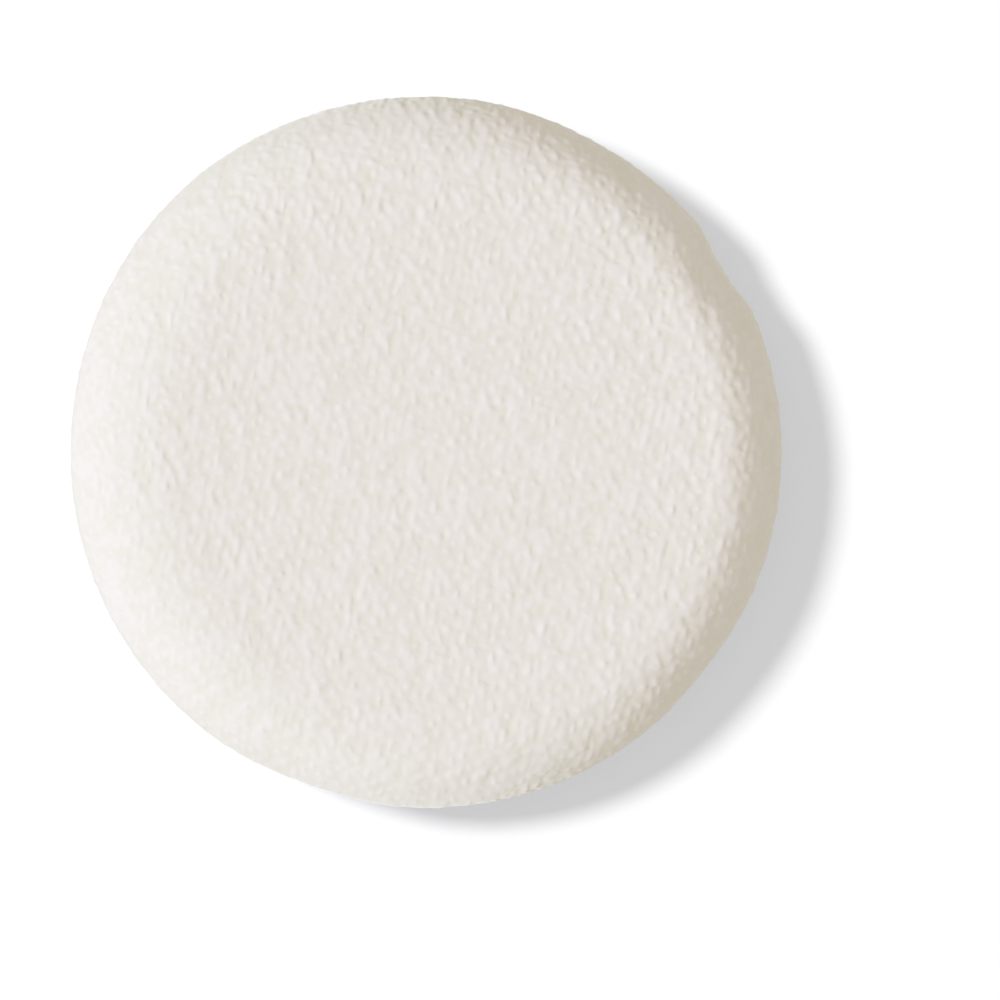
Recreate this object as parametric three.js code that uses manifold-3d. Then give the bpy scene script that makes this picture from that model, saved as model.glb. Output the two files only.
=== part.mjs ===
// A round powder puff. Two velour covers are sewn together at the edge, turned right side out and
// filled with a foam core, and the turning gap is closed by hand.
// Millimetres, +Z up. The puff rests on its back at z = 0, with its axis on Z.
import * as THREE from 'three';
import { mergeVertices } from 'three/addons/utils/BufferGeometryUtils.js';
import Module from 'manifold-3d';

const wasm = await Module();
wasm.setup();

// Outer form
const DIAMETER = 70; // across the rolled edge
const EDGE_RADIUS = 6.8; // rounding of the edge between a face and the seam
const CROWN_RADIUS = 1400; // curve of each face across its middle
const FOOT_FLAT = 0.1; // how deep the back's crown is pressed flat where the puff rests

// Velour covers
const VELOUR = 1.2; // thickness of the cloth with its pile
const TURN_RADIUS = 0.4; // inner radius of the roll where a cover turns in at the seam
const SEAM_INSET = 1; // from the end of that roll to the line of stitches
const ALLOWANCE = 4; // cloth from the line of stitches to the cut edge

// Stitches
const THREAD = 0.35; // thickness of the sewing thread
const STITCH = 4.5; // length of a machine stitch
const CLOSING_STITCH = 4; // length of a hand stitch
const CLOSING_GAP = 24; // length of edge left open for turning, then closed by hand
const CLOSING_ANGLE = THREE.MathUtils.degToRad(32); // where the middle of that gap lies
const TAIL = 1.2; // thread left past the last stitch hole

// The edge is drawn in where it was closed by hand
const DENT_DEPTH = 0.5;
const DENT_WIDTH = 12; // along the edge, from side to side of the dent

// Room between the pieces
const CLEARANCE = 0.3; // between cloth and cloth, and between cloth and foam
const THREAD_CLEARANCE = 0.15; // around a thread

// Facets
const SEGMENTS = 40; // round the axis, an even number
const CROWN_STEPS = 2;
const EDGE_STEPS = 4;
const LINING_STEPS = 3; // edge rounding on the inner faces
const ROLL_STEPS = 3;
const ROLL_LINING_STEPS = 1;
const THREAD_SIDES = 5;

// Finishes
const IVORY_VELOUR = 0xe8e3dc;
const CREAM_FOAM = 0xf2ead8;
const IVORY_THREAD = 0xefe9df;
const VELOUR_ROUGHNESS = 0.95;
const FOAM_ROUGHNESS = 0.9;
const THREAD_ROUGHNESS = 0.7;

const FULL_TURN = 2 * Math.PI;
const QUARTER_TURN = Math.PI / 2;

// The section is worked out with the seam's plane at height 0. The edge arc, the roll and the crown
// touch without a corner, so each arc's centre follows from the one beside it.
const radius = DIAMETER / 2;
const plyGap = CLEARANCE / 2; // from the seam's plane to each cover's turned-in cloth
const rollRadius = TURN_RADIUS + VELOUR;
const rollAngle = Math.asin((plyGap + rollRadius) / (EDGE_RADIUS - rollRadius));
const rollCentre = new THREE.Vector2(radius - rollRadius, plyGap + rollRadius);
const edgeCentre = new THREE.Vector2(
  rollCentre.x - (EDGE_RADIUS - rollRadius) * Math.cos(rollAngle),
  0,
);
const crownTilt = Math.asin(edgeCentre.x / (CROWN_RADIUS - EDGE_RADIUS));
const crownCentre = new THREE.Vector2(0, -(CROWN_RADIUS - EDGE_RADIUS) * Math.cos(crownTilt));
const faceHeight = crownCentre.y + CROWN_RADIUS;
const backHeight = faceHeight - FOOT_FLAT;

// The line of stitches
const seamRadius = rollCentre.x - SEAM_INSET;
const cutEdgeRadius = seamRadius - ALLOWANCE;
const threadHeight = plyGap + VELOUR + THREAD_CLEARANCE + THREAD / 2;
const loop = (THREAD + THREAD_CLEARANCE) / Math.SQRT2; // half the size of the link inside a hole
const holeWidth = 2 * (loop + THREAD / 2 + THREAD_CLEARANCE);
const closingTurn = CLOSING_GAP / seamRadius;

// Points along an arc of the section, both ends included.
function arc(centre, arcRadius, from, to, steps) {
  return Array.from({ length: steps + 1 }, (_, i) => {
    const angle = THREE.MathUtils.lerp(from, to, i / steps);
    return new THREE.Vector2(arcRadius, 0).rotateAround(new THREE.Vector2(), angle).add(centre);
  });
}

// A face from the axis out over the crown and round the edge, a given depth under the outer surface.
// A flat deeper than 0 takes that much off the top of the crown.
function faceCurve(depth, flat, edgeEnd, edgeSteps) {
  const crownRadius = CROWN_RADIUS - depth;
  const flatEdge = QUARTER_TURN - Math.acos(1 - flat / crownRadius);
  const faceEdge = QUARTER_TURN - crownTilt;
  const crown = arc(crownCentre, crownRadius, flatEdge, faceEdge, CROWN_STEPS);
  const edge = arc(edgeCentre, EDGE_RADIUS - depth, faceEdge, edgeEnd, edgeSteps);
  const middle = new THREE.Vector2(0, faceHeight - flat - depth);
  return [middle, ...crown.slice(flat > 0 ? 0 : 1), ...edge.slice(1)];
}

// The closed section of a cover: its outer face, the roll at the seam, the turned-in cloth, and back
// along the inner face.
function coverSection(flat) {
  const roll = arc(rollCentre, rollRadius, rollAngle, -QUARTER_TURN, ROLL_STEPS);
  const rollLining = arc(rollCentre, TURN_RADIUS, rollAngle, -QUARTER_TURN, ROLL_LINING_STEPS);
  const outside = [...faceCurve(0, flat, rollAngle, EDGE_STEPS), ...roll.slice(1)];
  const inside = [...faceCurve(VELOUR, flat, rollAngle, LINING_STEPS), ...rollLining.slice(1)];
  const cutEdge = [
    new THREE.Vector2(cutEdgeRadius, plyGap),
    new THREE.Vector2(cutEdgeRadius, plyGap + VELOUR),
  ];
  return [...outside, ...cutEdge, ...inside.reverse()];
}

// The section of the foam: both faces under the covers, with a groove round the rim for the turned-in
// cloth and the threads that lie on it.
function foamSection() {
  const depth = VELOUR + CLEARANCE;
  const groove = threadHeight + THREAD / 2 + CLEARANCE;
  const grooveRadius = cutEdgeRadius - CLEARANCE;
  const lip = Math.asin(groove / (EDGE_RADIUS - depth));
  const front = faceCurve(depth, 0, lip, LINING_STEPS);
  const back = faceCurve(depth, FOOT_FLAT, lip, LINING_STEPS);
  const floor = [new THREE.Vector2(grooveRadius, groove), new THREE.Vector2(grooveRadius, -groove)];
  return [...front, ...floor, ...mirrored(back).reverse()];
}

// A section turned over, from the front to the back.
function mirrored(section) {
  return section.map((point) => new THREE.Vector2(point.x, -point.y));
}

// A section, drawn from its top down, turned round the Z axis.
function turned(section) {
  const start = CLOSING_ANGLE + QUARTER_TURN;
  const lathe = new THREE.LatheGeometry([...section].reverse(), SEGMENTS, start, FULL_TURN);
  return lathe.rotateX(QUARTER_TURN);
}

// A closed surface as a solid that can be cut. Facets that shrink to a line on the axis are left out.
function solid(geometry) {
  geometry.deleteAttribute('normal');
  geometry.deleteAttribute('uv');
  const merged = mergeVertices(geometry);
  const corners = merged.index.array;
  const triVerts = [];
  for (let i = 0; i < corners.length; i += 3) {
    const [a, b, c] = corners.slice(i, i + 3);
    if (a !== b && b !== c && c !== a) {
      triVerts.push(a, b, c);
    }
  }
  const mesh = new wasm.Mesh({
    numProp: 3,
    vertProperties: new Float32Array(merged.attributes.position.array),
    triVerts: new Uint32Array(triVerts),
  });
  return new wasm.Manifold(mesh);
}

// A solid as a geometry again.
function surface(cut) {
  const { vertProperties, triVerts } = cut.getMesh();
  const geometry = new THREE.BufferGeometry();
  geometry.setAttribute('position', new THREE.BufferAttribute(vertProperties, 3));
  geometry.setIndex(new THREE.BufferAttribute(triVerts, 1));
  return geometry;
}

// Angles of evenly spaced stitch holes, both ends included.
function holeAngles(from, to, pitch) {
  const steps = Math.round(((to - from) * seamRadius) / pitch);
  return Array.from({ length: steps + 1 }, (_, i) => THREE.MathUtils.lerp(from, to, i / steps));
}

const gapStart = CLOSING_ANGLE - closingTurn / 2;
const gapEnd = CLOSING_ANGLE + closingTurn / 2;
const machineHoles = holeAngles(gapEnd, gapStart + FULL_TURN, STITCH);
const closingHoles = holeAngles(gapStart, gapEnd, CLOSING_STITCH).slice(1, -1);

// A cover with its stitch holes. The holes are square, and as wide as the linked threads need.
function cover(section) {
  const holeDepth = 2 * threadHeight;
  return [...machineHoles, ...closingHoles].reduce((cloth, angle) => {
    const hole = new THREE.BoxGeometry(holeWidth, holeWidth, holeDepth);
    hole.translate(seamRadius, 0, 0).rotateZ(angle);
    return cloth.subtract(solid(hole));
  }, solid(turned(section)));
}

// A thread's way through its bends in turn, with one step of the tube from each bend to the next.
class ThreadPath extends THREE.Curve {
  constructor(bends) {
    super();
    this.bends = bends;
  }

  getPoint(t, target = new THREE.Vector3()) {
    const last = this.bends.length - 1;
    const from = Math.min(Math.floor(t * last), last - 1);
    return target.lerpVectors(this.bends[from], this.bends[from + 1], t * last - from);
  }

  getUtoTmapping(u) {
    return u;
  }
}

// A round thread along a path.
function thread(bends) {
  const section = Array.from({ length: THREAD_SIDES }, (_, i) =>
    new THREE.Vector2(THREAD / 2, 0).rotateAround(new THREE.Vector2(), (FULL_TURN * i) / THREAD_SIDES),
  );
  return new THREE.ExtrudeGeometry(new THREE.Shape(section), {
    steps: bends.length - 1,
    extrudePath: new ThreadPath(bends),
    bevelEnabled: false,
  });
}

// A point beside a stitch hole: so far along the seam, out from it and up.
function besideHole(angle, along, out, up) {
  const turn = angle + along / seamRadius;
  const reach = seamRadius + out;
  return new THREE.Vector3(reach * Math.cos(turn), reach * Math.sin(turn), up);
}

// One thread of the machine seam. It lies on its own side of the cloth, dips into each hole, passes
// round the other thread and comes back. The side is 1 for the front and -1 for the back.
function seamThread(side) {
  const first = machineHoles[0];
  const last = machineHoles[machineHoles.length - 1];
  const stitches = machineHoles.flatMap((angle) => [
    besideHole(angle, -loop, 0, side * threadHeight),
    besideHole(angle, -loop, -side * loop, 0),
    besideHole(angle, 0, 0, -side * loop),
    besideHole(angle, loop, side * loop, 0),
    besideHole(angle, loop, 0, side * threadHeight),
  ]);
  return thread([
    besideHole(first, -TAIL, 0, side * threadHeight),
    ...stitches,
    besideHole(last, TAIL, 0, side * threadHeight),
  ]);
}

// The hand stitches. The thread crosses to the other cover at each hole, so it runs inside the front
// and the back by turns.
function closingStitches() {
  const sideAfter = (i) => (i % 2 === 0 ? -1 : 1);
  const end = closingHoles.length - 1;
  const stitches = closingHoles.flatMap((angle, i) => [
    besideHole(angle, 0, 0, -sideAfter(i) * threadHeight),
    besideHole(angle, 0, 0, sideAfter(i) * threadHeight),
  ]);
  return thread([
    besideHole(closingHoles[0], -TAIL, 0, -sideAfter(0) * threadHeight),
    ...stitches,
    besideHole(closingHoles[end], TAIL, 0, sideAfter(end) * threadHeight),
  ]);
}

// Draws the edge in towards the axis where the gap was closed, fading out along the edge and towards
// the faces.
function drawnIn(geometry) {
  const points = geometry.attributes.position;
  for (let i = 0; i < points.count; i += 1) {
    const x = points.getX(i);
    const y = points.getY(i);
    const reach = Math.hypot(x, y);
    const turn = Math.atan2(y, x) - CLOSING_ANGLE;
    const along = radius * Math.atan2(Math.sin(turn), Math.cos(turn));
    const fade = 1 - THREE.MathUtils.smoothstep(Math.abs(along), 0, DENT_WIDTH / 2);
    const pull = DENT_DEPTH * fade * THREE.MathUtils.smoothstep(reach, edgeCentre.x, radius);
    const scale = reach > 0 ? 1 - pull / reach : 1;
    points.setXY(i, x * scale, y * scale);
  }
  return geometry;
}

// A named piece with its own finish.
function piece(name, geometry, color, roughness) {
  const shaped = drawnIn(geometry);
  shaped.computeVertexNormals();
  const finish = new THREE.MeshStandardMaterial({ color, roughness, metalness: 0 });
  const mesh = new THREE.Mesh(shaped, finish);
  mesh.name = name;
  return mesh;
}

const puff = new THREE.Group();
puff.name = 'powder_puff';
puff.position.z = backHeight;
puff.add(
  piece('front_cover', surface(cover(coverSection(0))), IVORY_VELOUR, VELOUR_ROUGHNESS),
  piece(
    'back_cover',
    surface(cover(mirrored(coverSection(FOOT_FLAT)).reverse())),
    IVORY_VELOUR,
    VELOUR_ROUGHNESS,
  ),
  piece('foam_core', turned(foamSection()), CREAM_FOAM, FOAM_ROUGHNESS),
  piece('needle_thread', seamThread(1), IVORY_THREAD, THREAD_ROUGHNESS),
  piece('bobbin_thread', seamThread(-1), IVORY_THREAD, THREAD_ROUGHNESS),
  piece('closing_thread', closingStitches(), IVORY_THREAD, THREAD_ROUGHNESS),
);

export default puff;
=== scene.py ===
"""Looks of a round velour powder puff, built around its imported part: two velour covers with their pile,
the foam core, the sewing threads and a plain white stage.

The file is laid out as an add-on and run as a script. Lengths are metres. The puff rests on its back at
z = 0 with its axis on Z, and its front face looks up.
"""

import math

import bpy
import numpy as np
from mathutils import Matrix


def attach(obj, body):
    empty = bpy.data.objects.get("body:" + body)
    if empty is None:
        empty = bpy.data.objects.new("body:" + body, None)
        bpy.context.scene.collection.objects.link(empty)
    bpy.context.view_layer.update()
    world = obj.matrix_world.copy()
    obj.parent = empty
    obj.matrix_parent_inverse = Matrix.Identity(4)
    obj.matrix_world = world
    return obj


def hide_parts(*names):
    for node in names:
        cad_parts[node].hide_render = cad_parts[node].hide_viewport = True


bl_info = {
    "name": "Velour Powder Puff",
    "version": (1, 0, 0),
    "blender": (4, 5, 0),
    "location": "3D View > Sidebar > Powder Puff",
    "description": "Makes the soft covers, the foam, the threads and the stage of a round powder puff",
    "category": "Object",
}

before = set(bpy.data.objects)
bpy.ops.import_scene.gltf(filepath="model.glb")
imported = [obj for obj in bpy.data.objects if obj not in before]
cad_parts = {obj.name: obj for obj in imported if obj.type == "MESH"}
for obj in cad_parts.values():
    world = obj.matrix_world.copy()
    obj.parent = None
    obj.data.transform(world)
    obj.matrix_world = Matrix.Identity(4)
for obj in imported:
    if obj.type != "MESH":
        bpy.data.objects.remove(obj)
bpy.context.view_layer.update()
BODY = "root"

FULL_TURN = 2 * math.pi
TINY = 1e-9  # keeps a division away from 0
MAP_MARGIN = 0.004  # room round the parts of a cover's map
MAP_BAND = 0.09  # height of the strip of the map that holds the hidden faces

# Where the sewn edge is flatter, or fuller where the depth is below 0:
# degrees from +X towards +Y, depth, and length along the edge
UNEVEN_EDGE = (
    (60.0, 0.00022, 0.030),
    (-38.0, 0.00022, 0.020),
    (-110.0, 0.0003, 0.022),
    (132.0, -0.0003, 0.050),
)


def length(name, description, default):
    """A property that holds a length in metres."""
    return bpy.props.FloatProperty(
        name=name, description=description, default=default, min=0.0, precision=5, unit="LENGTH"
    )


def angle(name, description, degrees):
    """A property that holds an angle, given here in degrees."""
    return bpy.props.FloatProperty(
        name=name, description=description, default=math.radians(degrees), subtype="ANGLE"
    )


def colour(name, description, default):
    """A property that holds a linear colour."""
    return bpy.props.FloatVectorProperty(
        name=name, description=description, default=default, size=3, min=0.0, max=2.0, subtype="COLOR"
    )


def share(name, description, default):
    """A property that holds a plain number from 0 up."""
    return bpy.props.FloatProperty(name=name, description=description, default=default, min=0.0)


class PuffForm(bpy.types.PropertyGroup):
    """Sizes of the puff's section and of its edge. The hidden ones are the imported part's."""

    diameter: length("Diameter", "Across the rolled edge", 0.070)
    edge_radius: length("Edge radius", "Rounding between a face and the seam", 0.0068)
    crown_radius: length("Crown radius", "Curve of each face across its middle", 1.4)
    foot_flat: length("Foot flat", "How deep the back is pressed flat where the puff rests", 0.0001)
    face_radius: length("Face radius", "From the middle to where the edge begins to bend", 0.0286)
    shoulder: share("Shoulder", "Power of the edge's bend, 2 for an ellipse and more for a softer start", 2.0)
    soft_radius: length("Soft face radius", "The face radius on the side with the softer edge", 0.0240)
    soft_shoulder: share("Soft shoulder", "Power of the edge's bend on that side", 2.2)
    soft_angle: angle("Soft side", "Where the edge is softest, from X towards Y", 180)
    cloth: length("Cloth", "Thickness of the velour with its pile", 0.0012)
    turn_radius: length("Turn radius", "Inner radius of the roll at the seam", 0.0004)
    seam_inset: length("Seam inset", "From the end of the roll to the stitches", 0.001)
    allowance: length("Allowance", "Cloth from the stitches to the cut edge", 0.004)
    clearance: length("Clearance", "Room between cloth and cloth, and between cloth and foam", 0.0003)
    stitch: length("Stitch", "Length of a machine stitch", 0.0045)
    thread: length("Thread", "Thickness of the sewing thread", 0.00035)
    thread_clearance: length("Thread clearance", "Room around a thread", 0.00015)
    dent_depth: length("Dent depth", "How far the hand stitches draw the hidden edge in", 0.0005)
    dent_width: length("Dent width", "Length of hidden edge that is drawn in", 0.012)
    dent_angle: angle("Dent angle", "Where the edge was closed by hand", 32)
    fold_depth: length("Fold depth", "How far the outer cloth sinks there", 0.0007)
    fold_width: length("Fold width", "Length of edge along which the cloth sinks", 0.0104)
    fold_floor: length("Fold floor", "Length of edge along which it lies deepest", 0.0022)
    fold_angle: angle("Fold angle", "Where the cloth sinks", 31.6)


class PuffVelour(bpy.types.PropertyGroup):
    """The pile of the velour and its colours."""

    across: length("Across", "From one wale of the knit to the next", 0.00118)
    along: length("Along", "From loop to loop in a wale", 0.00143)
    lean: angle("Lean", "Turn of the wales from the Y axis", 29)
    knit_width: length("Knit tuft width", "Half width of a tuft of the knit", 0.00036)
    knit_length: length("Knit tuft length", "Half length of a tuft of the knit", 0.00047)
    loose_across: length("Loose across", "Spacing of the loose tufts across the wales", 0.0007)
    loose_along: length("Loose along", "Spacing of the loose tufts along the wales", 0.0009)
    loose_width: length("Loose tuft width", "Half width of a loose tuft", 0.00042)
    loose_length: length("Loose tuft length", "Half length of a loose tuft", 0.00044)
    loose: share("Loose", "Height of the loose tufts beside the knit's own", 0.78)
    tuft_height: length("Tuft height", "Of a full tuft of the knit above the pile around it", 0.000057)
    slant: share("Slant", "How far a tuft leans towards +X for its height", 0.8)
    opened: share("Opened", "How much higher the pile stands where the cloth bends", 0.35)
    open_angle: angle("Open angle", "Where the edge opens the pile most", 50)
    open_from: length("Open from", "Distance from the middle where the pile begins to open", 0.019)
    open_to: length("Open to", "Distance from the middle where the pile is open", 0.026)
    lay: angle("Lay", "Turn of the brushed tufts from the Y axis", -6)
    tip: colour("Tips", "Colour of the tips of the tufts", (0.803, 0.767, 0.740))
    # painted shade: the pit colour is darker and warmer than the tips, for the shade that falls between the
    # tufts
    pit_shade: colour("Pits", "Colour between the tufts", (0.771, 0.741, 0.679))
    unruly: angle("Unruly", "How far the tufts turn from their lay, as a spread", 11)
    uneven: share("Uneven width", "How much the tufts' widths differ", 0.23)
    uneven_length: share("Uneven length", "How much the tufts' lengths differ", 0.45)
    sheen: share("Sheen", "How much the pile lightens at a slant", 1.0)


class PuffFilling(bpy.types.PropertyGroup):
    """How the sewn covers are filled, as a cloth simulation."""

    pressure: share("Pressure", "Push of the filling on the cloth", 2.0)
    slack: share("Slack", "How much larger the cloth is cut than the form it fills", 0.006)
    stiffness: share("Stiffness", "How hard the cloth is to stretch", 15.0)
    bending: share("Bending", "How hard the cloth is to bend", 15.0)
    hold_face: share("Hold of the face", "How firmly the foam holds the faces, up to 1", 0.9)
    hold_edge: share("Hold of the edge", "How firmly the foam holds the edge, up to 1", 0.1)
    most: length("Most", "The farthest that a point may move", 0.0004)


class PuffInside(bpy.types.PropertyGroup):
    """Colours of what the covers hide."""

    foam: colour("Foam", "Colour of the foam", (0.89, 0.82, 0.68))
    # painted shade: the colour inside the open cells is darker for the shade in those hollows
    foam_cell_shade: colour("Foam cells", "Colour inside the foam's open cells", (0.70, 0.60, 0.44))
    thread: colour("Thread", "Colour of the sewing thread", (0.86, 0.81, 0.74))
    # painted shade: the grooves between the strands are coloured darker for the shade in them
    thread_groove_shade: colour("Thread groove", "Colour between the twisted strands", (0.62, 0.56, 0.47))


class PuffStage(bpy.types.PropertyGroup):
    """Camera, light and floor."""

    camera_height: length("Camera height", "Of the camera above the floor", 0.55)
    view_width: length("View width", "Width of the picture at the puff's widest line", 0.09845)
    centre: bpy.props.FloatVectorProperty(
        name="Picture centre",
        description="Place under the middle of the picture",
        default=(0.00727, -0.00471),
        size=2,
        subtype="XYZ",
        unit="LENGTH",
    )
    key: share("Key", "Level of the key light on a level surface", 0.295)
    key_colour: colour("Key colour", "Tint of the key light", (0.885, 0.985, 1.19))
    key_azimuth: angle("Key azimuth", "Where the key light stands, from X towards Y", 190)
    key_height: angle("Key height", "Of the key light above the floor", 30)
    key_size: angle("Key size", "How wide the key light looks from the puff", 14)
    top: share("Top", "Level of the wide light overhead", 0.33)
    top_colour: colour("Top colour", "Tint of the light overhead", (0.972, 0.97, 1.16))
    top_size: angle("Top size", "How wide the light overhead looks from the puff", 60)
    drop: share("Drop", "Level of the lamp that casts the puff's shadow on the floor", 0.665)
    drop_azimuth: angle("Drop azimuth", "Where that lamp stands, from X towards Y", 157.5)
    drop_height: angle("Drop height", "Of that lamp above the floor", 54.5)
    drop_size: angle("Drop size", "How wide that lamp looks from the puff", 11.5)
    fill: share("Fill", "Level of the light from all round", 0.381)
    fill_colour: colour("Fill colour", "Tint of that light and of the floor's lamp", (1.12, 1.02, 0.70))
    floor: colour("Floor", "Colour of the floor as the puff sees it", (0.556, 0.59, 0.72))
    paper: colour("Paper", "Colour of the floor as the camera sees it", (0.518, 0.569, 0.829))
    paper_glow: colour(
        "Paper glow", "Light of its own that the floor shows the camera", (0.403, 0.403, 0.403)
    )


class Wire:
    """A socket of a shader. Sums, differences and products of wires and numbers add Math nodes, and node()
    adds any other node."""

    def __init__(self, tree, socket=None):
        self.tree = tree
        self.socket = socket

    def node(self, kind, settings=None, sockets=None, output=0):
        """Adds a node. Its settings are set first, then its sockets get values or links."""
        made = self.tree.nodes.new(kind)
        for name, value in (settings or {}).items():
            setattr(made, name, value)
        for key, value in (sockets or {}).items():
            if isinstance(value, Wire):
                self.tree.links.new(value.socket, made.inputs[key])
            else:
                made.inputs[key].default_value = value
        return Wire(self.tree, made.outputs[output] if made.outputs else None)

    def blend(self, factor, first, second):
        """A colour from first to second as factor goes from 0 to 1. The Mix node takes its colours in its
        sockets 6 and 7, and gives them at its output 2."""
        return self.node("ShaderNodeMix", {"data_type": "RGBA"}, {0: factor, 6: first, 7: second}, 2)

    def surface(self, sockets):
        """Adds the surface with these values, and leads it to the material's output."""
        shader = self.node("ShaderNodeBsdfPrincipled", None, sockets)
        self.node("ShaderNodeOutputMaterial", None, {"Surface": shader})

    def maths(self, operation, first, second):
        """A number worked out from two others."""
        return self.node("ShaderNodeMath", {"operation": operation}, {0: first, 1: second})

    def __add__(self, other):
        return self.maths("ADD", self, other)

    def __sub__(self, other):
        return self.maths("SUBTRACT", self, other)

    def __rsub__(self, other):
        return self.maths("SUBTRACT", other, self)

    def __mul__(self, other):
        return self.maths("MULTIPLY", self, other)

    __radd__ = __add__
    __rmul__ = __mul__


def rgba(linear):
    """A colour property as four numbers."""
    return (*linear, 1.0)


def new_material(name):
    """An empty material, and a wire to add its nodes with."""
    material = bpy.data.materials.new(name)
    material.use_nodes = True
    material.node_tree.nodes.clear()
    return material, Wire(material.node_tree)


def velour_finish(look):
    """Short dense pile: light tips, pits painted darker and warmer as the shade between the tufts, fine fibres
    that lie along the rows, and a soft sheen. The colour goes from the painted pit shade to the tip colour
    with the tufts' height, a little with the fibres, and with broad clouds."""
    material, wire = new_material("ivory_velour")
    tuft = wire.node("ShaderNodeAttribute", {"attribute_name": "tuft"}, output="Fac")
    lay = wire.node("ShaderNodeAttribute", {"attribute_name": "lay"}, output="Vector")
    drawn_out = (1.0, 0.35, 1.0)
    combed = wire.node("ShaderNodeVectorMath", {"operation": "MULTIPLY"}, {0: lay, 1: drawn_out})
    fibre = wire.node("ShaderNodeTexNoise", None, {"Vector": combed, "Scale": 6500.0, "Detail": 2.0})
    cloud = wire.node("ShaderNodeTexNoise", None, {"Vector": lay, "Scale": 130.0, "Detail": 3.0})
    fibre_tone, cloud_tone, least_tone = 0.08, 0.7, 0.11
    # painted shade: lower tufts take the pit shade colour; the fibres and the broad clouds add the cloth's own
    # uneven tone
    shade_and_tone = tuft + fibre * fibre_tone + cloud * cloud_tone + least_tone
    base = wire.blend(shade_and_tone, rgba(look.pit_shade), rgba(look.tip))
    bump = wire.node("ShaderNodeBump", None, {"Strength": 0.2, "Distance": 0.00003, "Height": fibre})
    dullest, fibre_gloss = 0.98, 0.12
    wire.surface(
        {
            "Base Color": base,
            "Roughness": dullest - fibre * fibre_gloss,
            "Normal": bump,
            "Specular IOR Level": 0.12,
            "Sheen Weight": look.sheen,
            "Sheen Roughness": 0.55,
        }
    )
    return material


def foam_finish(look):
    """Open-cell foam: round cells with middles painted darker as the shade inside them, pale walls, and soft
    clouds over them.
    """
    material, wire = new_material("cream_foam")
    place = wire.node("ShaderNodeTexCoord", output="Object")
    cell = wire.node("ShaderNodeTexVoronoi", None, {"Vector": place, "Scale": 1900.0})
    cloud = wire.node("ShaderNodeTexNoise", None, {"Vector": place, "Scale": 260.0, "Detail": 2.0})
    cell_tone, cloud_tone, darker = 1.3, 0.3, 0.1
    wall = cell * cell_tone + cloud * cloud_tone - darker
    # painted shade: the middles of the cells take the darker shade colour, the walls the foam's own colour
    base = wire.blend(wall, rgba(look.foam_cell_shade), rgba(look.foam))
    bump = wire.node("ShaderNodeBump", None, {"Strength": 0.8, "Distance": 0.0002, "Height": cell})
    dullest, cloud_gloss = 0.95, 0.1
    wire.surface(
        {
            "Base Color": base,
            "Roughness": dullest - cloud * cloud_gloss,
            "Normal": bump,
            "Specular IOR Level": 0.2,
        }
    )
    return material


def thread_finish(look):
    """Spun thread: strands that wind round it, as slanting ridges with painted shade in the grooves between
    them, and soft lint.
    """
    material, wire = new_material("ivory_thread")
    place = wire.node("ShaderNodeTexCoord", output="Object")
    turned = wire.node("ShaderNodeMapping", None, {"Vector": place, "Rotation": (0.5, 0.6, 0.7)})
    twist = {"Vector": turned, "Scale": 1400.0, "Distortion": 1.5}
    strand = wire.node("ShaderNodeTexWave", {"wave_type": "BANDS"}, twist, "Fac")
    lint = wire.node("ShaderNodeTexNoise", None, {"Vector": place, "Scale": 9000.0, "Detail": 2.0})
    strand_tone, lint_tone = 0.7, 0.4
    shade_and_tone = strand * strand_tone + lint * lint_tone
    # painted shade: the grooves between the strands take the darker shade colour
    base = wire.blend(shade_and_tone, rgba(look.thread_groove_shade), rgba(look.thread))
    strand_ridge, lint_ridge = 0.8, 0.2
    ridges = strand * strand_ridge + lint * lint_ridge
    bump = wire.node("ShaderNodeBump", None, {"Strength": 0.6, "Distance": 0.00006, "Height": ridges})
    glossiest, lint_dulls = 0.75, 0.15
    rough = glossiest + lint * lint_dulls
    wire.surface({"Base Color": base, "Roughness": rough, "Normal": bump, "Sheen Weight": 0.2})
    return material


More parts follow.
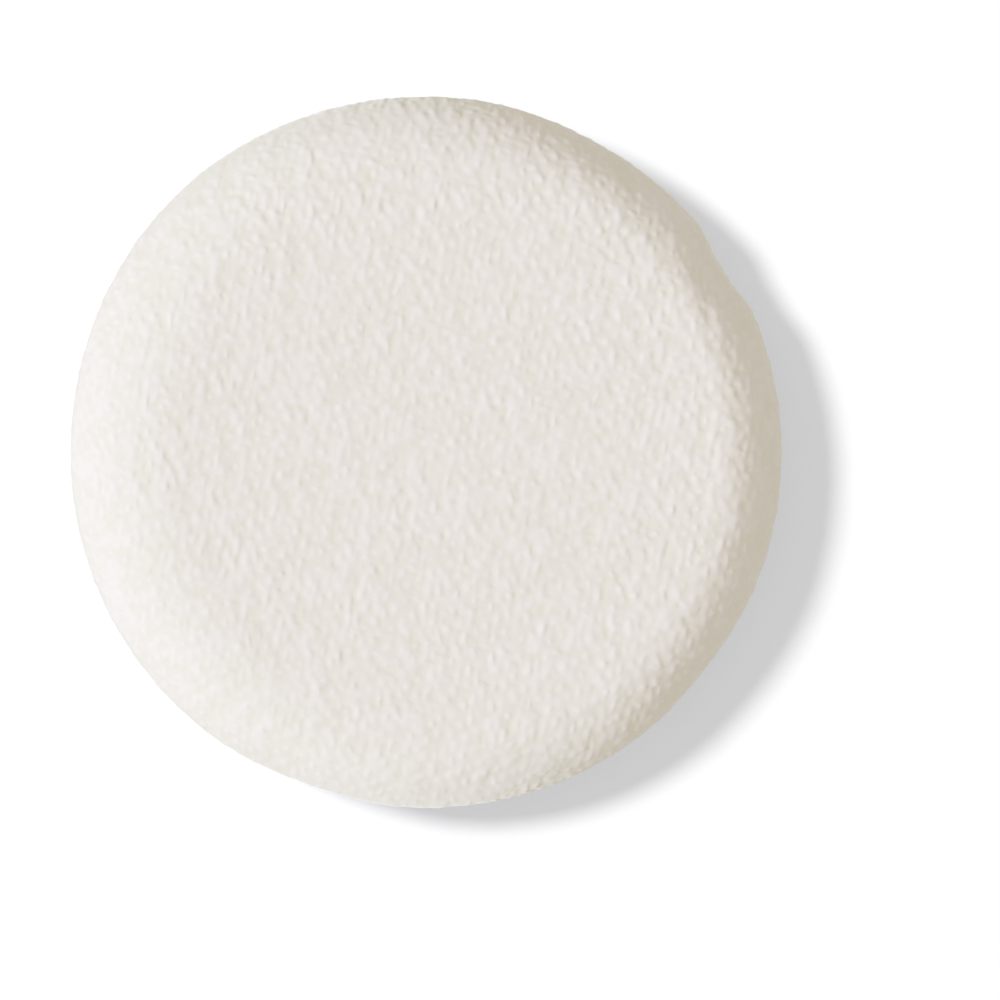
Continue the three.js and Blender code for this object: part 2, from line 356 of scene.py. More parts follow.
class Section:
    """Half the puff's section, with the seam's plane at height 0. The crown arc, the edge arc and the roll
    at the seam touch without a corner, so each centre follows from the one beside it."""

    def __init__(self, form):
        self.form = form
        self.radius = form.diameter / 2
        self.gap = form.clearance / 2
        self.roll = form.turn_radius + form.cloth
        inner = form.edge_radius - self.roll
        lift = math.asin((self.gap + self.roll) / inner)
        self.roll_start = math.pi / 2 - lift
        self.roll_centre = (self.radius - self.roll, self.gap + self.roll)
        self.edge_centre = (self.roll_centre[0] - inner * math.cos(lift), 0.0)
        drop = form.crown_radius - form.edge_radius
        self.crown_tilt = math.asin(self.edge_centre[0] / drop)
        self.crown_centre = (0.0, -drop * math.cos(self.crown_tilt))
        self.face_height = self.crown_centre[1] + form.crown_radius
        self.back_height = self.face_height - form.foot_flat
        self.seam_radius = self.roll_centre[0] - form.seam_inset
        self.cut_radius = self.seam_radius - form.allowance
        self.thread_height = self.gap + form.cloth + form.thread_clearance + form.thread / 2

    @staticmethod
    def arc(centre, radius, start, end, count):
        """Points of an arc as rows of reach, height and tilt. Tilt is the normal's angle from upright."""
        tilt = np.linspace(start, end, count)
        return np.stack([centre[0] + radius * np.sin(tilt), centre[1] + radius * np.cos(tilt), tilt], 1)

    def face(self, depth, flat, edge_end, count):
        """The face from the axis to a tilt on the edge arc, so deep under the outer surface. A flat above 0
        takes that much off the top of the crown."""
        crown = self.form.crown_radius - depth
        first = math.acos(1 - flat / crown)
        middle = np.array([[0.0, self.face_height - flat - depth, 0.0]])
        top = self.arc(self.crown_centre, crown, first, self.crown_tilt, count)
        edge = self.arc(self.edge_centre, self.form.edge_radius - depth, self.crown_tilt, edge_end, count)
        return np.concatenate([middle, top if flat > 0 else top[1:], edge[1:]])

    def bent(self, rim, begin, power, count):
        """A gently crowned face whose edge bends over towards the rim, as rows of reach, height and tilt:
        height = top times the square root of 1 - s to the shoulder's power, less reach² / 2 crown radii,
        where s goes from 0 where the edge begins to 1 at the rim."""
        crown = self.form.crown_radius
        wide = rim - begin
        fall = np.pi / 2 * np.linspace(0.0, 1.0, count) ** (power / 2)
        out = np.sin(fall) ** (2 / power)
        slope = self.face_height * power / 2 * out ** (power - 1) / wide / np.maximum(np.cos(fall), TINY)
        face = np.linspace(0.0, begin, count // 8, endpoint=False)
        reach = np.concatenate([face, begin + wide * out])
        level = np.full(len(face), self.face_height)
        height = np.concatenate([level, self.face_height * np.cos(fall)]) - reach**2 / (2 * crown)
        slope = np.concatenate([np.zeros(len(face)), slope]) + reach / crown
        return np.stack([reach, height, np.arctan(slope)], 1)

    def outside(self, flat, begin, power, count=4000):
        """The outer line of a cover from the axis to the end of the roll. The rim of the bent face is found
        by halving, so that the face touches the roll from outside, and the line changes over there."""
        widest, halvings = 1.05, 40
        low, high = self.radius, self.radius * widest
        for _ in range(halvings):
            rim = (low + high) / 2
            bent = self.bent(rim, begin, power, count)
            off = np.hypot(bent[:, 0] - self.roll_centre[0], bent[:, 1] - self.roll_centre[1])
            low, high = (rim, high) if off.min() < self.roll else (low, rim)
        touch = int(off.argmin())
        roll = self.arc(self.roll_centre, self.roll, bent[touch, 2], math.pi, count // 4)
        line = np.concatenate([bent[:touch], roll])
        pressed = line[:, 1] > self.face_height - flat
        line[pressed, 1] = self.face_height - flat
        line[pressed, 2] = 0.0
        return line

    def surface(self, flat, part, turn):
        """Reach, height and tilt of the outer surface at a part of the way from the axis to the end of the
        roll. The line on the soft side turns into the one on the other side as a cosine of the turn."""
        form = self.form
        firm = (1 - np.cos(turn - form.soft_angle)) / 2
        edges = (
            (form.face_radius, form.shoulder, firm),
            (form.soft_radius, form.soft_shoulder, 1 - firm),
        )
        total = 0.0
        for begin, power, weight in edges:
            line = self.outside(flat, begin, power)
            distance = along(line)
            walk = part * distance[-1]
            total = total + weight * np.stack([np.interp(walk, distance, column) for column in line.T])
        return total

    def lining(self, flat):
        """The hidden line of a cover from the end of its roll: turned-in cloth, cut edge, and back along the
        inner face to the axis."""
        form = self.form
        face_points, roll_points = 6, 5
        inner = self.face(form.cloth, flat, self.roll_start, face_points)
        roll = self.arc(self.roll_centre, form.turn_radius, self.roll_start, math.pi, roll_points)
        low, high = self.gap, self.gap + form.cloth
        seam, cut = self.seam_radius, self.cut_radius
        turned_in = [[seam, low], [cut, low], [cut, high], [seam, high]]
        back = np.concatenate([inner, roll[1:]])[::-1, :2]
        return np.concatenate([turned_in, back])

    def foam(self):
        """The foam's line from the top of the axis to the bottom: both faces under the covers, and a groove
        round the rim for the turned-in cloth and the threads on it."""
        depth = self.form.cloth + self.form.clearance
        groove = self.thread_height + self.form.thread / 2 + self.form.clearance
        floor = self.cut_radius - self.form.clearance
        lip = math.acos(groove / (self.form.edge_radius - depth))
        face_points, wall_points, floor_points = 24, 12, 10
        front = self.face(depth, 0.0, lip, face_points)[:, :2]
        back = self.face(depth, self.form.foot_flat, lip, face_points)[::-1, :2] * (1, -1)
        upper, lower = (floor, groove), (floor, -groove)
        walls = [
            np.linspace(front[-1], upper, wall_points)[1:],
            np.linspace(upper, lower, floor_points)[1:],
            np.linspace(lower, back[0], wall_points)[1:-1],
        ]
        return np.concatenate([front, *walls, back])


def along(line):
    """Distance along a line of points from its first one."""
    steps = np.hypot(*np.diff(line[:, :2], axis=0).T)
    return np.concatenate([[0.0], np.cumsum(steps)])


def smooth_step(value, low, high):
    """0 up to low, 1 from high, and 3t² - 2t³ between them."""
    t = np.clip((value - low) / (high - low), 0.0, 1.0)
    return t * t * (3 - 2 * t)


def disc_rings(count):
    """Points that lie evenly over a disc, as reach from 0 to 1 and turn: a middle one and then rings about
    it, each with six points more than the one inside. Also the triangles between them."""
    ring = np.repeat(np.arange(1, count + 1), 6 * np.arange(1, count + 1))
    first = 1 + 3 * ring * (ring - 1)
    place = 1 + np.arange(len(ring)) - first
    inner_first = np.where(ring > 1, first - 6 * (ring - 1), 0)
    inner_count = np.maximum(6 * (ring - 1), 1)
    sector = place // ring
    outer = first + place
    after = first + (place + 1) % (6 * ring)
    within = inner_first + (place - sector) % inner_count
    before = inner_first + (place - sector - 1) % inner_count
    point_up = np.stack([outer, after, within], 1)
    point_down = np.stack([before, outer, within], 1)[place % ring > 0]
    reach = np.concatenate([[0.0], ring / count])
    turn = np.concatenate([[0.0], FULL_TURN * place / (6 * ring)])
    return reach, turn, np.concatenate([point_up, point_down])


def turned(rings, levels, spokes):
    """Points of rings about the axis, ring by ring: x and y are the ring's radius times the cosine and the
    sine of each spoke's angle, and z is the ring's level."""
    return np.stack(
        [
            np.outer(rings, np.cos(spokes)),
            np.outer(rings, np.sin(spokes)),
            np.repeat(levels[:, None], len(spokes), 1),
        ],
        2,
    ).reshape(-1, 3)


def turned_faces(count, columns):
    """Faces of a closed turned body, from the top down: squares between that many rings of columns, and
    triangles to a top point and a bottom point, which come after the rings' points."""
    step = np.arange(columns)
    after = (step + 1) % columns
    ring = np.arange(count)[:, None] * columns
    strip = np.stack([ring[1:] + step, ring[1:] + after, ring[:-1] + after, ring[:-1] + step], 2)
    top = np.stack([step, after, np.full(columns, count * columns)], 1)
    bottom = np.stack([ring[-1] + after, ring[-1] + step, np.full(columns, count * columns + 1)], 1)
    return [strip.reshape(-1, 4), top, bottom]


def tufts(u, v, look, chance, spacing, size, astray, stagger, least):
    """Height of a lattice of tufts, as a sum of long bells, each full times e to the minus
    (p / width)² + (q / length)². Each tuft is moved astray, turned and sized by chance, and full runs from
    least to 1. Every other column is staggered by that part of a step."""
    side = 192  # columns and rows of the lattice, more than the cloth has room for
    near = range(-2, 3)  # columns and rows from which a tuft still reaches a point
    most_uneven = 0.65  # the farthest that a length may depart, as a power of e
    half = side // 2
    shape = (side, side)
    wide_step, long_step = spacing
    shift_u = chance.uniform(-astray, astray, shape) * wide_step
    shift_v = chance.uniform(-astray, astray, shape) * long_step
    turn = look.lay - look.lean + chance.normal(0.0, look.unruly, shape)
    width = size[0] * np.exp(chance.normal(0.0, look.uneven, shape))
    departs = np.clip(chance.normal(0.0, look.uneven_length, shape), -most_uneven, most_uneven)
    long = size[1] * np.exp(departs)
    full = chance.uniform(least, 1.0, shape)
    column = np.floor(u / wide_step).astype(int)
    height = np.zeros_like(u)
    for beside in near:
        c = column + beside
        later = stagger * (c % 2)
        row = np.floor(v / long_step - later).astype(int)
        for above in near:
            r = row + above
            spot = (c + half, r + half)
            du = u - (c + 0.5) * wide_step - shift_u[spot]
            dv = v - (r + 0.5 + later) * long_step - shift_v[spot]
            cos, sin = np.cos(turn[spot]), np.sin(turn[spot])
            p, q = du * cos + dv * sin, dv * cos - du * sin
            height += full[spot] * np.exp(-((p / width[spot]) ** 2) - (q / long[spot]) ** 2)
    return height


def pile(flat_x, flat_y, look, seed):
    """Height of the pile over the flat cloth in full tufts, about its mean: the knit's own tufts, which stand
    in leaning wales, and loose tufts and hollows over them."""
    chance = np.random.default_rng(seed)
    u = flat_x * math.cos(look.lean) + flat_y * math.sin(look.lean)
    v = flat_y * math.cos(look.lean) - flat_x * math.sin(look.lean)
    knit_step, knit_size = (look.across, look.along), (look.knit_width, look.knit_length)
    loose_step, loose_size = (look.loose_across, look.loose_along), (look.loose_width, look.loose_length)
    knit = tufts(u, v, look, chance, knit_step, knit_size, astray=0.12, stagger=0.0, least=0.5)
    loose = tufts(u, v, look, chance, loose_step, loose_size, astray=0.5, stagger=0.5, least=-1.0)
    height = knit + look.loose * loose
    return height - height.mean()


def filled_skin(section, filling):
    """How far the covers move when they are filled, as one net for the front and one for the back. A net has
    rows from the middle to the end of the roll, columns round the axis, and moves outwards, sideways and up.
    The rows' shares of that way come first.

    Both covers are simulated as one closed cloth, sewn together all round. The cloth is cut a little too
    large and the filling pushes it out, while the foam holds the faces and the stitches hold the seam. The
    section has the even swelling already, so a row keeps only what differs from its mean. The moves are
    capped, and they fade out at the middle and at the seam."""
    enlarged = 8.0  # the solver works best on things about half a metre across
    frames = 20
    points_to_stitch = 4
    face_rows, edge_rows = 9, 16
    edge_band = 0.013  # the outer cloth that is not held as firmly as the face
    slack_band = 0.004  # the part of it next to the seam that is held least
    still_band = 0.003  # where the moves fade out at the seam
    columns = points_to_stitch * round(FULL_TURN * section.seam_radius / section.form.stitch)
    line = section.outside(0.0, section.form.face_radius, section.form.shoulder)
    distance = along(line)
    end = distance[-1]
    calm = end - edge_band
    face_stops = np.linspace(0.0, calm, face_rows, endpoint=False)
    stops = np.concatenate([face_stops, np.linspace(calm, end, edge_rows)])
    rows = len(stops)
    nets = np.zeros((2, rows, columns, 3))
    reach, height = (np.interp(stops[1:], distance, line[:, k]) for k in range(2))
    rings = np.concatenate([reach, [section.seam_radius], reach[::-1]])
    levels = np.concatenate([height, [0.0], -height[::-1]])
    spokes = np.linspace(0.0, FULL_TURN, columns, endpoint=False)
    body = turned(rings, levels, spokes)
    points = np.concatenate([body, [[0.0, 0.0, line[0, 1]], [0.0, 0.0, -line[0, 1]]]])
    skin = new_piece("filled_skin", points * enlarged, turned_faces(len(rings), columns), None)

    held = skin.vertex_groups.new(name="held")
    loose = smooth_step(stops[1:], calm, end - slack_band)
    firm = filling.hold_face + (filling.hold_edge - filling.hold_face) * loose
    step = np.arange(columns)
    firsts = np.arange(len(rings)) * columns
    for first, weight in zip(firsts, np.concatenate([firm, [0.0], firm[::-1]])):
        held.add((first + step).tolist(), float(weight), "REPLACE")
    held.add([len(body), len(body) + 1], filling.hold_face, "REPLACE")
    held.add((firsts[rows - 1] + step[::points_to_stitch]).tolist(), 1.0, "REPLACE")
    cloth = skin.modifiers.new("filling", "CLOTH")
    cloth.settings.vertex_group_mass = held.name
    cloth.settings.pin_stiffness = 1.0
    cloth.settings.use_pressure = True
    cloth.settings.uniform_pressure_force = filling.pressure
    cloth.settings.shrink_min = cloth.settings.shrink_max = -filling.slack
    cloth.settings.tension_stiffness = cloth.settings.compression_stiffness = filling.stiffness
    cloth.settings.bending_stiffness = filling.bending
    cloth.settings.effector_weights.gravity = 0.0
    cloth.collision_settings.use_collision = False
    scene = bpy.context.scene
    for number in range(1, frames + 1):
        scene.frame_set(number)
    filled = skin.evaluated_get(bpy.context.evaluated_depsgraph_get()).data
    ends = np.empty(3 * len(points), np.float32)
    filled.vertices.foreach_get("co", ends)
    moves = (ends.reshape(-1, 3) / enlarged - points)[: len(body)].reshape(len(rings), columns, 3)
    mesh = skin.data
    bpy.data.objects.remove(skin)
    bpy.data.meshes.remove(mesh)
    scene.frame_set(1)

    outwards = moves[..., 0] * np.cos(spokes) + moves[..., 1] * np.sin(spokes)
    sideways = moves[..., 1] * np.cos(spokes) - moves[..., 0] * np.sin(spokes)
    moves = np.stack([outwards, sideways, moves[..., 2]], 2)
    moves -= moves.mean(1, keepdims=True)
    far = np.linalg.norm(moves, axis=2, keepdims=True)
    moves *= np.minimum(1.0, filling.most / np.maximum(far, TINY))
    off_middle = smooth_step(stops[1:], 0.0, calm / 2)
    off_seam = 1 - smooth_step(stops[1:], end - still_band, end)
    fade = (off_middle * off_seam)[:, None, None]
    nets[0, 1:] = moves[: rows - 1] * fade
    nets[1, 1:] = moves[: rows - 1 : -1] * fade
    return stops / end, nets


def net_value(net, row, column):
    """Moves between the points of a net, from the four nearest rows and columns weighed as a cubic B-spline.
    The columns close into a ring, and beyond the first and last rows those rows go on."""

    def weights(part):
        """The four weights at a part of the way from one point to the next."""
        return (
            (1 - part) ** 3 / 6,
            (3 * part**3 - 6 * part**2 + 4) / 6,
            (1 + 3 * part * (1 + part - part**2)) / 6,
            part**3 / 6,
        )

    first_row, first_column = np.floor(row).astype(int), np.floor(column).astype(int)
    by_row, by_column = weights(row - first_row), weights(column - first_column)
    total = np.zeros((len(row), 3))
    for up in range(4):
        r = np.clip(first_row + up - 1, 0, len(net) - 1)
        for over in range(4):
            c = (first_column + over - 1) % net.shape[1]
            total += (by_row[up] * by_column[over])[:, None] * net[r, c]
    return total


def drawn_in(points, section, depth, floor, width, heading):
    """Points with the edge drawn in towards the axis at a heading, or let out where the depth is below 0. The
    pull is full along the floor, and it fades out over the width of edge and towards the faces."""
    reach = np.hypot(points[:, 0], points[:, 1])
    turn = np.arctan2(points[:, 1], points[:, 0]) - heading
    far = section.radius * np.abs(np.arctan2(np.sin(turn), np.cos(turn)))
    fade = 1 - smooth_step(far, floor / 2, width / 2)
    pull = depth * fade * smooth_step(reach, section.edge_centre[0], section.radius)
    scale = 1 - pull / np.maximum(reach, TINY)
    return points * np.stack([scale, scale, np.ones_like(scale)], 1)


def dented(points, section):
    """Points of the hidden cloth or of the foam, drawn in where the edge was closed by hand."""
    form = section.form
    return drawn_in(points, section, form.dent_depth, 0.0, form.dent_width, form.dent_angle)


def new_piece(name, points, faces, material, corners=None, marks=None):
    """A smooth mesh object. faces are arrays with one row of point numbers for each face, corners the places
    of the faces' corners on the bake's map, and marks the values kept for each point."""
    mesh = bpy.data.meshes.new(name)
    mesh.vertices.add(len(points))
    mesh.vertices.foreach_set("co", np.asarray(points, np.float32).ravel())
    sizes = np.concatenate([np.full(len(part), part.shape[1]) for part in faces])
    mesh.loops.add(int(sizes.sum()))
    numbers = np.concatenate([part.ravel() for part in faces])
    mesh.loops.foreach_set("vertex_index", numbers.astype(np.int32))
    mesh.polygons.add(len(sizes))
    mesh.polygons.foreach_set("loop_start", (np.cumsum(sizes) - sizes).astype(np.int32))
    if corners is not None:
        layer = mesh.uv_layers.new(name="OFBake")
        layer.data.foreach_set("uv", np.concatenate(corners).astype(np.float32).ravel())
    for mark, values in (marks or {}).items():
        kind, field = ("FLOAT", "value") if values.ndim == 1 else ("FLOAT_VECTOR", "vector")
        attribute = mesh.attributes.new(mark, kind, "POINT")
        attribute.data.foreach_set(field, np.asarray(values, np.float32).ravel())
    mesh.update(calc_edges=True)
    mesh.shade_smooth()
    if material:
        mesh.materials.append(material)
    piece = bpy.data.objects.new(name, mesh)
    bpy.context.scene.collection.objects.link(piece)
    return piece


def take_place(piece, node):
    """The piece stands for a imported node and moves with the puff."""
    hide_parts(node)
    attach(piece, BODY)


def hidden_map(columns, count, thinning):
    """Places on a cover's map of the corners of its hidden faces: the strips between that many rings, the fan
    and the wedges that join the rim to the first ring, and the cap. They fill a band at the foot of the map,
    unrolled, with the columns across it and the rings one above the other."""
    rows = count + 1
    step = np.arange(columns)
    fine = np.arange(columns * thinning)
    coarse = fine // thinning
    near = (fine % thinning) < thinning // 2

    def on_band(column, row):
        """The place of a column and a row, as even steps across and up the band inside its margins."""
        across = MAP_MARGIN + (1 - 2 * MAP_MARGIN) * column / columns
        up = MAP_MARGIN + (MAP_BAND - 3 * MAP_MARGIN) * row / rows
        return np.stack(np.broadcast_arrays(across, up), -1)

    ring = np.arange(count)[:, None] + 1.0
    strip = np.stack(
        [
            on_band(step + 0.0, ring[:-1]),
            on_band(step + 1.0, ring[:-1]),
            on_band(step + 1.0, ring[1:]),
            on_band(step + 0.0, ring[1:]),
        ],
        2,
    ).reshape(-1, 4, 2)
    fan = np.stack(
        [
            on_band((fine + 1.0) / thinning, 0.0),
            on_band(fine / thinning, 0.0),
            on_band(np.where(near, coarse, coarse + 1.0), 1.0),
        ],
        1,
    )
    wedge = np.stack([on_band(step + 0.5, 0.0), on_band(step + 0.0, 1.0), on_band(step + 1.0, 1.0)], 1)
    cap = np.stack(
        [on_band(step + 0.0, rows - 1.0), on_band(step + 1.0, rows - 1.0), on_band(step + 0.5, rows + 0.0)], 1
    )
    return strip, fan, wedge, cap


def cover(name, section, look, material, count, front, seed, stops, net):
    """One velour cover as a closed shell. The outer face is rings of points laid over the flat cloth and
    carried onto the section by their distance from the middle, so the tufts keep their size round the edge.
    The pile lifts the points along the normal, more where the edge opens it, and they lean with their height.
    The filled skin's moves are added, no point goes below the floor, and the edge sinks at the fold and is
    made uneven. The hidden lining is turned about the axis with fewer columns."""
    form = section.form
    flat = 0.0 if front else form.foot_flat
    side = 1.0 if front else -1.0
    upright_from = 0.9  # part of the way to the seam from which the tufts lean less and less
    reach, turn, face = disc_rings(count)
    cut = along(section.outside(flat, form.face_radius, form.shoulder))[-1]
    lie_x, lie_y = cut * reach * np.cos(turn), cut * reach * np.sin(turn)
    height = pile(lie_x, lie_y, look, seed)
    bend = smooth_step(cut * reach, look.open_from, look.open_to) * (1 + np.cos(turn - look.open_angle)) / 2
    lift = look.tuft_height * height * (1 + look.opened * bend)
    lean_x = lie_x + look.slant * lift * (1 - smooth_step(reach, upright_from, 1.0))
    walked, way = np.hypot(lean_x, lie_y) / cut, np.arctan2(lie_y, lean_x)
    radius, level, tilt = section.surface(flat, walked, way)
    radius = radius + lift * np.sin(tilt)
    level = level + lift * np.cos(tilt)
    row = np.interp(walked, stops, np.arange(len(stops)))
    swell = net_value(net, row, way / FULL_TURN * net.shape[1])
    radius = radius + swell[:, 0]
    round_x = radius * np.cos(way) - swell[:, 1] * np.sin(way)
    round_y = radius * np.sin(way) + swell[:, 1] * np.cos(way)
    outer = np.stack([round_x, round_y, side * level + swell[:, 2] + section.back_height], 1)
    outer[:, 2] = np.maximum(outer[:, 2], 0.0)
    outer = drawn_in(outer, section, form.fold_depth, form.fold_floor, form.fold_width, form.fold_angle)
    for degrees, depth, width in UNEVEN_EDGE:
        outer = drawn_in(outer, section, depth, 0.0, width, math.radians(degrees))

    thinning = 8  # points of the rim for each column of the lining
    rim = np.arange(len(reach) - 6 * count, len(reach))
    spokes = turn[rim[::thinning]]
    columns = len(spokes)
    hidden = section.lining(flat)
    rings = hidden[:-1]
    inner = turned(rings[:, 0], side * rings[:, 1] + section.back_height, spokes)
    pole = np.array([[0.0, 0.0, side * hidden[-1, 1] + section.back_height]])
    lining = np.concatenate([inner, pole])
    points = np.concatenate([outer, dented(lining, section)])

    first = len(outer)
    step = np.arange(columns)
    after = (step + 1) % columns
    ring = first + np.arange(len(rings))[:, None] * columns
    strip = np.stack([ring[:-1] + step, ring[:-1] + after, ring[1:] + after, ring[1:] + step], 2)
    fine = np.arange(len(rim))
    coarse = fine // thinning
    near = (fine % thinning) < thinning // 2
    joined = first + np.where(near, coarse, (coarse + 1) % columns)
    fan = np.stack([np.roll(rim, -1), rim, joined], 1)
    split = rim[thinning // 2 :: thinning]
    wedge = np.stack([split, first + step, first + after], 1)
    last = ring[-1]
    cap = np.stack([last + step, last + after, np.full(columns, len(points) - 1)], 1)
    faces = [face, strip.reshape(-1, 4)[:, ::-1], fan, wedge, cap[:, ::-1]]

    table = np.stack([lie_x, lie_y], 1) / (2 * cut) + 0.5
    spread = table * (1 - MAP_MARGIN - MAP_BAND) + ((MAP_MARGIN + MAP_BAND) / 2, MAP_BAND)
    strip_map, fan_map, wedge_map, cap_map = hidden_map(columns, len(rings), thinning)
    corners = [spread[face], strip_map[:, ::-1], fan_map, wedge_map, cap_map[:, ::-1]]
    if not front:
        faces = [part[:, ::-1] for part in faces]
        corners = [part[:, ::-1] for part in corners]
    corners = [part.reshape(-1, 2) for part in corners]
    marks = {
        "tuft": np.concatenate([height, np.zeros(len(lining))]),
        "lay": np.concatenate([np.stack([lie_x, lie_y, np.zeros_like(lie_x)], 1), lining]),
    }
    piece = new_piece(name, points, faces, material, corners, marks)
    take_place(piece, name.replace("velour_", ""))


class POWDERPUFF_OT_stage(bpy.types.Operator):
    """Camera over the puff, a plain white floor, and soft lights on the puff and on the floor"""

    bl_idname = "powder_puff.stage"
    bl_label = "Stage"

    def execute(self, context):
        scene = context.scene
        stage = scene.puff_stage
        section = Section(scene.puff_form)
        scene.view_settings.view_transform = "Standard"
        camera = bpy.data.objects.new("camera", bpy.data.cameras.new("camera"))
        scene.collection.objects.link(camera)
        scene.camera = camera
        camera.location = (*stage.centre, stage.camera_height)
        far = stage.camera_height - section.back_height - section.roll_centre[1]
        camera.data.lens = camera.data.sensor_width * far / stage.view_width
        camera.data.clip_start, camera.data.clip_end = 0.01, 10.0
        floor = self.floor(stage)
        overhead = math.pi / 2
        key = (stage.key, stage.key_colour, stage.key_azimuth, stage.key_height, stage.key_size)
        top = (stage.top, stage.top_colour, 0.0, overhead, stage.top_size)
        drop = (stage.drop, stage.fill_colour, stage.drop_azimuth, stage.drop_height, stage.drop_size)
        self.lamp(scene, "key", *key, floor, "EXCLUDE")
        self.lamp(scene, "top", *top, floor, "EXCLUDE")
        self.lamp(scene, "drop", *drop, floor, "INCLUDE")
        self.surroundings(scene, stage)
        return {"FINISHED"}

    @staticmethod
    def lamp(scene, name, level, tint, azimuth, height, size, floor, lights_floor):
        """A distant soft lamp that gives a level white surface that much light. It lights all but the floor,
        or the floor alone."""
        light = bpy.data.lights.new(name, "SUN")
        light.energy = math.pi * level / math.sin(height)
        light.color = tint
        light.angle = size
        lamp = bpy.data.objects.new(name, light)
        lamp.rotation_euler = (math.pi / 2 - height, 0.0, azimuth + math.pi / 2)
        scene.collection.objects.link(lamp)
        lit = bpy.data.collections.new(name + "_lit")
        lit.objects.link(floor)
        lit.collection_objects[0].light_linking.link_state = lights_floor
        lamp.light_linking.receiver_collection = lit

    @staticmethod
    def seen(wire):
        """1 on rays from the camera, in mirrors and through glass, and 0 on other rays."""
        paths = ("Is Camera Ray", "Is Glossy Ray", "Is Transmission Ray")
        first, second, third = (wire.node("ShaderNodeLightPath", output=path) for path in paths)
        return wire.maths("MAXIMUM", wire.maths("MAXIMUM", first, second), third)

    def surroundings(self, scene, stage):
        """Even light from all round, and plain white where the camera looks past the floor."""
        scene.world = bpy.data.worlds.new("surroundings")
        scene.world.use_nodes = True
        scene.world.node_tree.nodes.clear()
        wire = Wire(scene.world.node_tree)
        even = {"Color": rgba(stage.fill_colour), "Strength": stage.fill}
        plain = {"Color": rgba((1.0, 1.0, 1.0)), "Strength": 1.0}
        light, white = (wire.node("ShaderNodeBackground", None, sockets) for sockets in (even, plain))
        both = wire.node("ShaderNodeMixShader", None, {0: self.seen(wire), 1: light, 2: white})
        wire.node("ShaderNodeOutputWorld", None, {"Surface": both})

    def floor(self, stage):
        """A wide level sheet that shows the camera the puff's shadow on plain white. Its colours make up for
        the tint of the light on it, so the shadow is grey."""
        material, wire = new_material("white_floor")
        bounce = wire.node("ShaderNodeBsdfDiffuse", None, {"Color": rgba(stage.floor)})
        paper = wire.node("ShaderNodeBsdfDiffuse", None, {"Color": rgba(stage.paper)})
        glow = wire.node("ShaderNodeEmission", None, {"Color": rgba(stage.paper_glow), "Strength": 1.0})
        white = wire.node("ShaderNodeAddShader", None, {0: paper, 1: glow})
        both = wire.node("ShaderNodeMixShader", None, {0: self.seen(wire), 1: bounce, 2: white})
        wire.node("ShaderNodeOutputMaterial", None, {"Surface": both})
        half = 3.0
        points = np.array([[-half, -half, 0.0], [half, -half, 0.0], [half, half, 0.0], [-half, half, 0.0]])
        floor = new_piece("floor", points, [np.array([[0, 1, 2, 3]])], material)
        return floor


class POWDERPUFF_OT_covers(bpy.types.Operator):
    """The front and back covers of knitted velour, turned in at the seam"""

    bl_idname = "powder_puff.covers"
    bl_label = "Velour covers"

    def execute(self, context):
        section = Section(context.scene.puff_form)
        look = context.scene.puff_velour
        material = velour_finish(look)
        stops, (front, back) = filled_skin(section, context.scene.puff_filling)
        front_rings, back_rings = 320, 216
        front_seed, back_seed = 11, 23
        cover("velour_front_cover", section, look, material, front_rings, True, front_seed, stops, front)
        cover("velour_back_cover", section, look, material, back_rings, False, back_seed, stops, back)
        return {"FINISHED"}


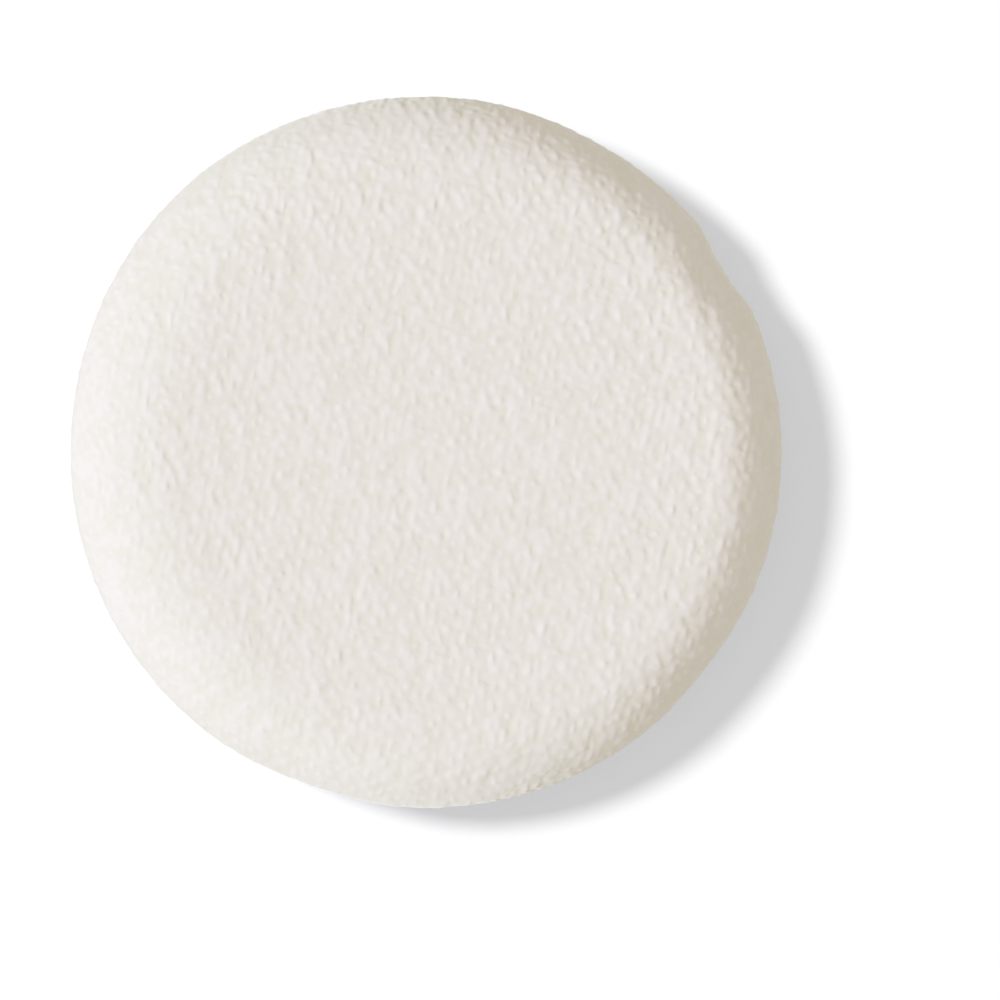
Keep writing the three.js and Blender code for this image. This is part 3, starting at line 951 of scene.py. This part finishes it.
class POWDERPUFF_OT_foam_core(bpy.types.Operator):
    """The foam disc inside the covers, with the groove that the turned-in cloth presses into its rim"""

    bl_idname = "powder_puff.foam_core"
    bl_label = "Foam core"

    def execute(self, context):
        section = Section(context.scene.puff_form)
        line = section.foam()
        columns = 144
        spokes = np.linspace(0.0, FULL_TURN, columns, endpoint=False)
        rings = line[1:-1]
        body = turned(rings[:, 0], rings[:, 1] + section.back_height, spokes)
        poles = np.array([[0.0, 0.0, line[k, 1] + section.back_height] for k in (0, -1)])
        points = dented(np.concatenate([body, poles]), section)
        faces = turned_faces(len(rings), columns)
        piece = new_piece("soft_foam_core", points, faces, foam_finish(context.scene.puff_inside))
        take_place(piece, "foam_core")
        return {"FINISHED"}


class POWDERPUFF_OT_threads(bpy.types.Operator):
    """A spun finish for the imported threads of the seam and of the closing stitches"""

    bl_idname = "powder_puff.threads"
    bl_label = "Threads"

    def execute(self, context):
        material = thread_finish(context.scene.puff_inside)
        for node in ("needle_thread", "bobbin_thread", "closing_thread"):
            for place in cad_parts[node].material_slots:
                place.material = material
        return {"FINISHED"}


class POWDERPUFF_PT_panel(bpy.types.Panel):
    """Buttons that make the pieces, and the values they are made from"""

    bl_idname = "POWDERPUFF_PT_panel"
    bl_label = "Powder Puff"
    bl_space_type = "VIEW_3D"
    bl_region_type = "UI"
    bl_category = "Powder Puff"

    def draw(self, context):
        for step in STEPS:
            self.layout.operator(step.bl_idname)
        for name in GROUPS:
            box = self.layout.box()
            group = getattr(context.scene, name)
            for field in group.bl_rna.properties.keys():
                if field not in ("rna_type", "name"):
                    box.prop(group, field)


GROUPS = {
    "puff_form": PuffForm,
    "puff_velour": PuffVelour,
    "puff_filling": PuffFilling,
    "puff_inside": PuffInside,
    "puff_stage": PuffStage,
}
STEPS = (POWDERPUFF_OT_stage, POWDERPUFF_OT_covers, POWDERPUFF_OT_foam_core, POWDERPUFF_OT_threads)


def register():
    """Adds the values to the scene, and the operators and the panel."""
    for name, group in GROUPS.items():
        bpy.utils.register_class(group)
        setattr(bpy.types.Scene, name, bpy.props.PointerProperty(type=group))
    for step in (*STEPS, POWDERPUFF_PT_panel):
        bpy.utils.register_class(step)


def unregister():
    """Takes out what register() added, last first."""
    for step in (POWDERPUFF_PT_panel, *reversed(STEPS)):
        bpy.utils.unregister_class(step)
    for name, group in reversed(GROUPS.items()):
        delattr(bpy.types.Scene, name)
        bpy.utils.unregister_class(group)


def main():
    """Makes the stage and every piece."""
    register()
    bpy.ops.powder_puff.stage()
    bpy.ops.powder_puff.covers()
    bpy.ops.powder_puff.foam_core()
    bpy.ops.powder_puff.threads()


if __name__ == "__main__":
    main()
